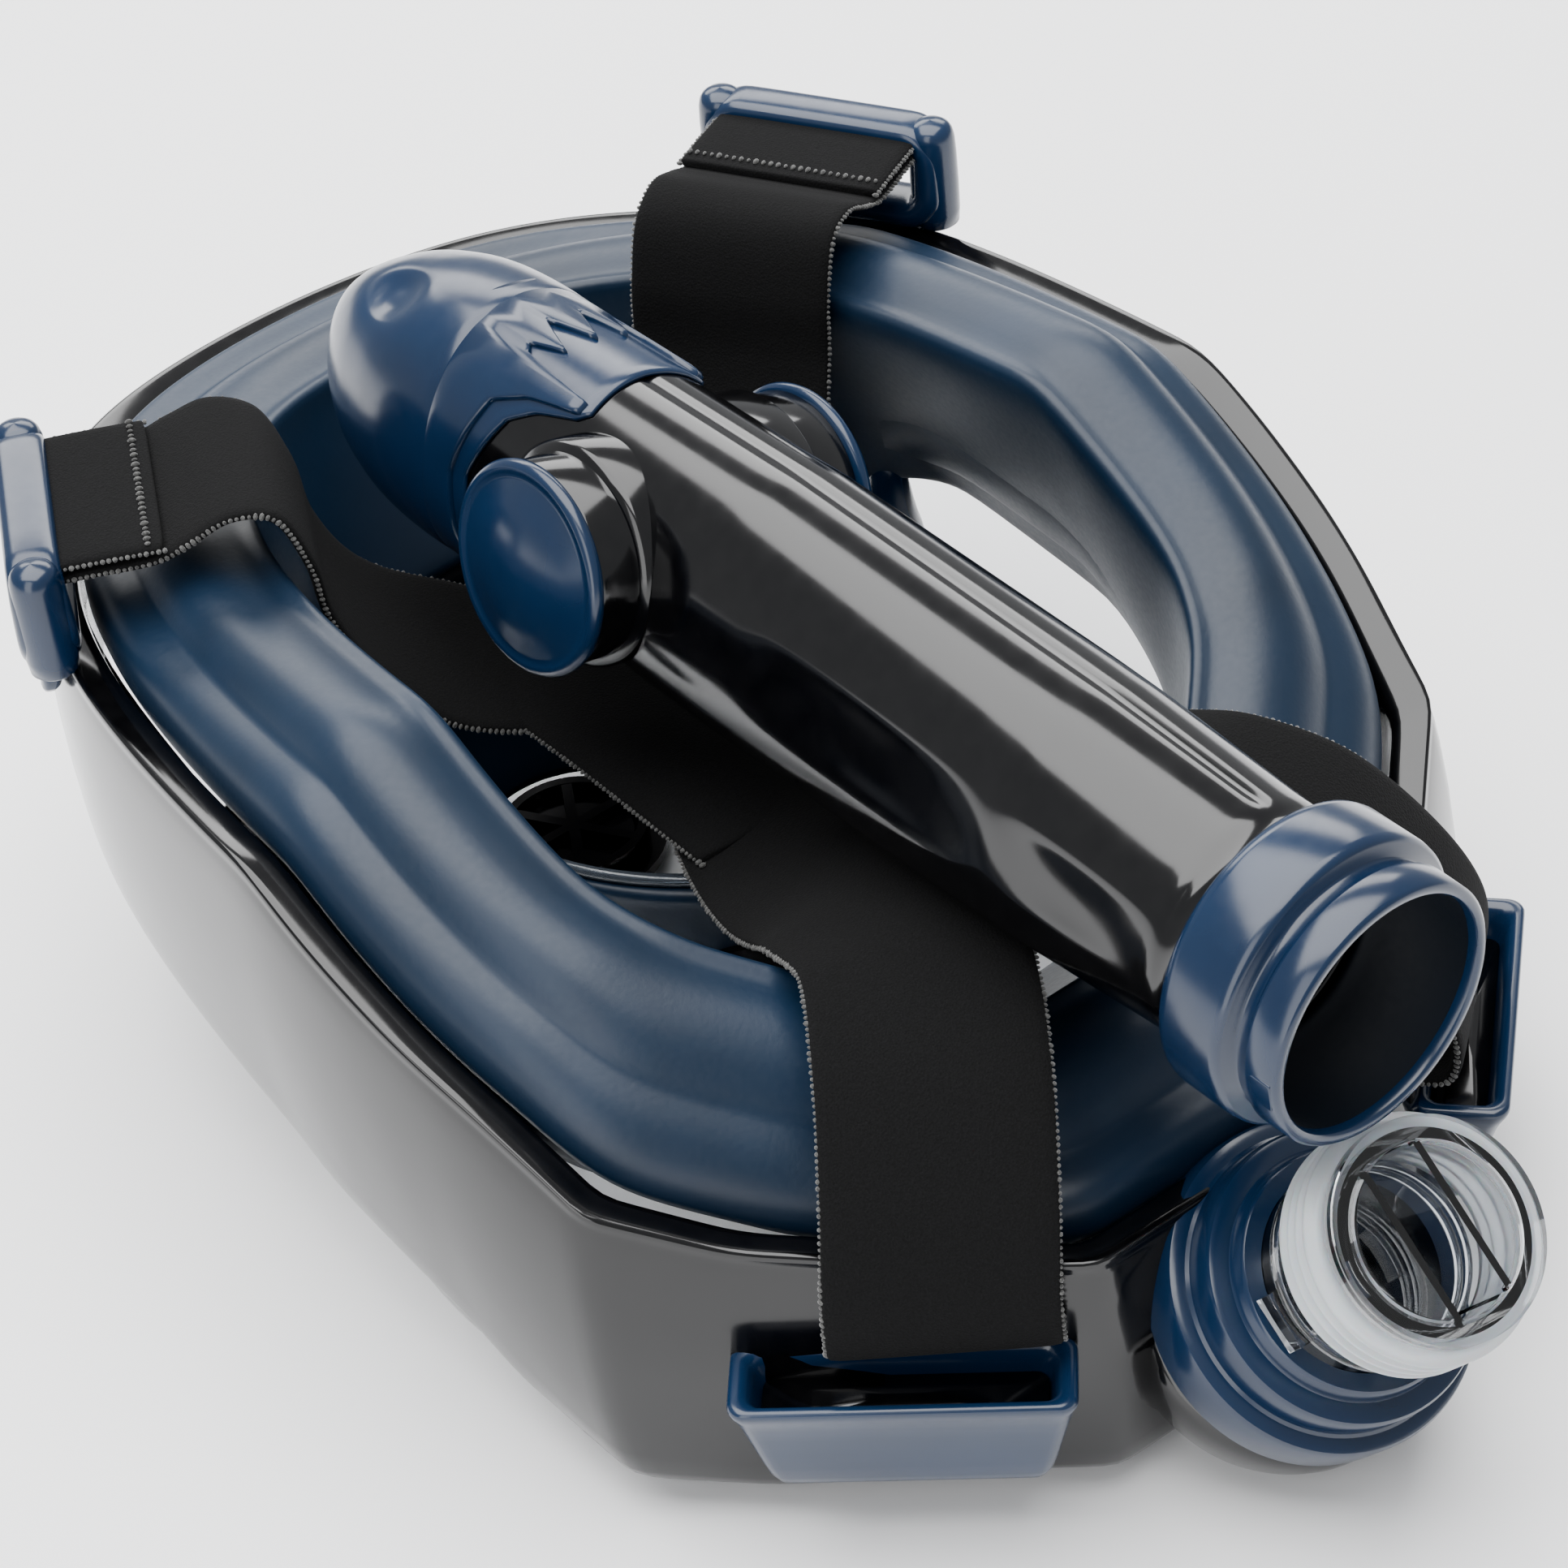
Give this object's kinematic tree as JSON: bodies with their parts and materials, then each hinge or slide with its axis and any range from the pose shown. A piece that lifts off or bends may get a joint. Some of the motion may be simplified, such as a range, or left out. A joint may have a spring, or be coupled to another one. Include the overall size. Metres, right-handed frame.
{
  "type": "full face snorkel mask",
  "caption": "Full face snorkel mask lying lens down, with a crossed head strap and its dry-top snorkel taken off and laid across the face opening.",
  "frame": {"origin": "middle of the footprint, on the floor plane that the lens rests on", "axes": "+X the wearer's left, +Y from chin to forehead, +Z from the lens to the face side"},
  "size_m": [0.2013, 0.3121, 0.1302],
  "materials": {
    "black_abs": "polished moulded ABS",
    "clear_pc": "clear polycarbonate",
    "navy_silicone": "satin moulded silicone",
    "navy_plastic": "glossy moulded plastic",
    "clear_silicone": "translucent silicone",
    "black_silicone": "thin satin silicone",
    "black_webbing": "brushed elastic webbing",
    "white_foam": "light closed cell float"
  },
  "bodies": {
    "mask": {"frame": "black_abs", "lens": "clear_pc", "skirt": "navy_silicone", "nose_cup": "navy_silicone", "drain_seat": "black_abs", "drain_cover": "black_abs", "socket_base": "navy_plastic", "connector_tube": "clear_pc", "connector_seal": "clear_silicone", "strap_patch": "black_webbing", "inhale_seat_left": "black_abs", "strap_guide_left": "navy_plastic", "strap_chin_arm_left": "black_webbing", "strap_brow_arm_left": "black_webbing", "chin_clip_left": "navy_plastic", "inhale_seat_right": "black_abs", "strap_guide_right": "navy_plastic", "strap_chin_arm_right": "black_webbing", "strap_brow_arm_right": "black_webbing", "chin_clip_right": "navy_plastic"},
    "snorkel": {"snorkel_collar": "navy_plastic", "snorkel_head_cap": "navy_plastic", "snorkel_claw": "navy_plastic", "snorkel_tube_left": "black_abs", "air_divider_left": "black_abs", "float_pod_left": "black_abs", "pod_disc_left": "navy_plastic", "snorkel_tube_right": "black_abs", "air_divider_right": "black_abs", "float_pod_right": "black_abs", "pod_disc_right": "navy_plastic"},
    "float_left": {"float_left": "white_foam"},
    "float_right": {"float_right": "white_foam"},
    "drain_flap": {"drain_flap": "black_silicone"},
    "inhale_flap_left": {"inhale_flap_left": "black_silicone"},
    "inhale_flap_right": {"inhale_flap_right": "black_silicone"}
  },
  "joints": [
    {"name": "snorkel_lift", "type": "slide", "parent": "mask", "child": "snorkel", "axis": [0, 0, 1], "range_m": [0, 0.12]},
    {"name": "float_slide_left", "type": "slide", "parent": "snorkel", "child": "float_left", "axis": [0.0312, -0.9986, 0.0416], "range_m": [0, 0.009]},
    {"name": "float_slide_right", "type": "slide", "parent": "snorkel", "child": "float_right", "axis": [0.0312, -0.9986, 0.0416], "range_m": [0, 0.009]},
    {"name": "drain_flap_hinge", "type": "hinge", "parent": "mask", "child": "drain_flap", "pos_m": [0, -0.089, 0.0053], "axis": [-1, 0, 0], "range_deg": [0, 4], "stiffness_Nm_per_rad": 0.02},
    {"name": "inhale_flap_hinge_left", "type": "hinge", "parent": "mask", "child": "inhale_flap_left", "pos_m": [0.01555, -0.00046, 0.0371], "axis": [-0.7717, 0.636, 0], "range_deg": [0, 25], "stiffness_Nm_per_rad": 0.02},
    {"name": "inhale_flap_hinge_right", "type": "hinge", "parent": "mask", "child": "inhale_flap_right", "pos_m": [-0.01555, -0.00046, 0.0371], "axis": [-0.7717, -0.636, 0], "range_deg": [0, 25], "stiffness_Nm_per_rad": 0.02}
  ]
}
